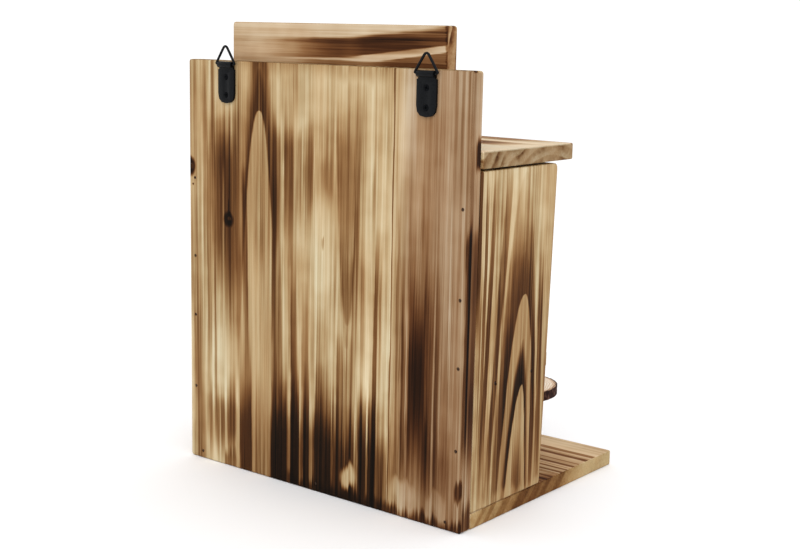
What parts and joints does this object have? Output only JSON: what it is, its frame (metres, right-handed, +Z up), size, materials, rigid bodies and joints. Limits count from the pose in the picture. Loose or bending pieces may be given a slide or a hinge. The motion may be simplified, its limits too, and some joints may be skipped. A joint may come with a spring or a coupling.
{
  "type": "squirrel feeder box",
  "caption": "Torched-wood nut feeder with a tip-up lid, clear window, bar counter and log stools, on a tall back board with ring hangers.",
  "frame": {"origin": "middle of the base board's underside", "axes": "+Z up, the feeder's front faces -Y and its back board and hangers are on the +Y side, X runs across it"},
  "size_m": [0.2352, 0.1842, 0.3],
  "materials": {
    "torched_wood": "flame-torched and oiled, honey ground with brown to black grain",
    "counter_wood": "greyish brown, sanded",
    "log_wood": "pale sawn end grain with dark bark",
    "bark": "rough reddish-brown bark",
    "black_steel": "satin black",
    "bright_nail": "plain steel, dulled",
    "clear_acrylic": "clear, smooth"
  },
  "bodies": {
    "box": {"back_board": "torched_wood", "bar_counter": "counter_wood", "bar_front": "torched_wood", "base_board": "torched_wood", "base_brad_1": "bright_nail", "base_brad_2": "bright_nail", "base_brad_3": "bright_nail", "left_base_screw_1": "bright_nail", "left_base_screw_2": "bright_nail", "left_counter_brad_1": "bright_nail", "left_counter_brad_2": "bright_nail", "left_hanger_plate": "black_steel", "left_hanger_screw_1": "black_steel", "left_hanger_screw_2": "black_steel", "left_hinge_board_leaf": "black_steel", "left_hinge_board_screw_1": "black_steel", "left_hinge_board_screw_2": "black_steel", "left_hinge_pin": "black_steel", "left_side_brad_1": "bright_nail", "left_side_brad_2": "bright_nail", "left_side_brad_3": "bright_nail", "left_side_brad_4": "bright_nail", "left_side_panel": "torched_wood", "left_sign_brad": "bright_nail", "left_stool_post": "bark", "left_stool_screw": "bright_nail", "left_stool_seat": "log_wood", "right_base_screw_1": "bright_nail", "right_base_screw_2": "bright_nail", "right_counter_brad_1": "bright_nail", "right_counter_brad_2": "bright_nail", "right_hanger_plate": "black_steel", "right_hanger_screw_1": "black_steel", "right_hanger_screw_2": "black_steel", "right_hinge_board_leaf": "black_steel", "right_hinge_board_screw_1": "black_steel", "right_hinge_board_screw_2": "black_steel", "right_hinge_pin": "black_steel", "right_side_brad_1": "bright_nail", "right_side_brad_2": "bright_nail", "right_side_brad_3": "bright_nail", "right_side_brad_4": "bright_nail", "right_side_panel": "torched_wood", "right_sign_brad": "bright_nail", "right_stool_post": "bark", "right_stool_screw": "bright_nail", "right_stool_seat": "log_wood", "sign_board": "torched_wood", "window_pane": "clear_acrylic"},
    "lid": {"left_hinge_lid_leaf": "black_steel", "left_hinge_lid_screw_1": "black_steel", "left_hinge_lid_screw_2": "black_steel", "lid": "torched_wood", "right_hinge_lid_leaf": "black_steel", "right_hinge_lid_screw_1": "black_steel", "right_hinge_lid_screw_2": "black_steel"},
    "left_ring": {"left_hanger_ring": "black_steel"},
    "right_ring": {"right_hanger_ring": "black_steel"}
  },
  "joints": [
    {"name": "lid_hinge", "type": "hinge", "parent": "box", "child": "lid", "pos_m": [0, 0.0828, 0.2312], "axis": [-1, 0, 0], "range_deg": [0, 77]},
    {"name": "left_ring_swing", "type": "hinge", "parent": "box", "child": "left_ring", "pos_m": [0.0798, 0.0972, 0.2724], "axis": [-1, 0, 0], "range_deg": [-15, 165]},
    {"name": "right_ring_swing", "type": "hinge", "parent": "box", "child": "right_ring", "pos_m": [-0.0844, 0.0972, 0.2724], "axis": [-1, 0, 0], "range_deg": [-15, 165]}
  ]
}
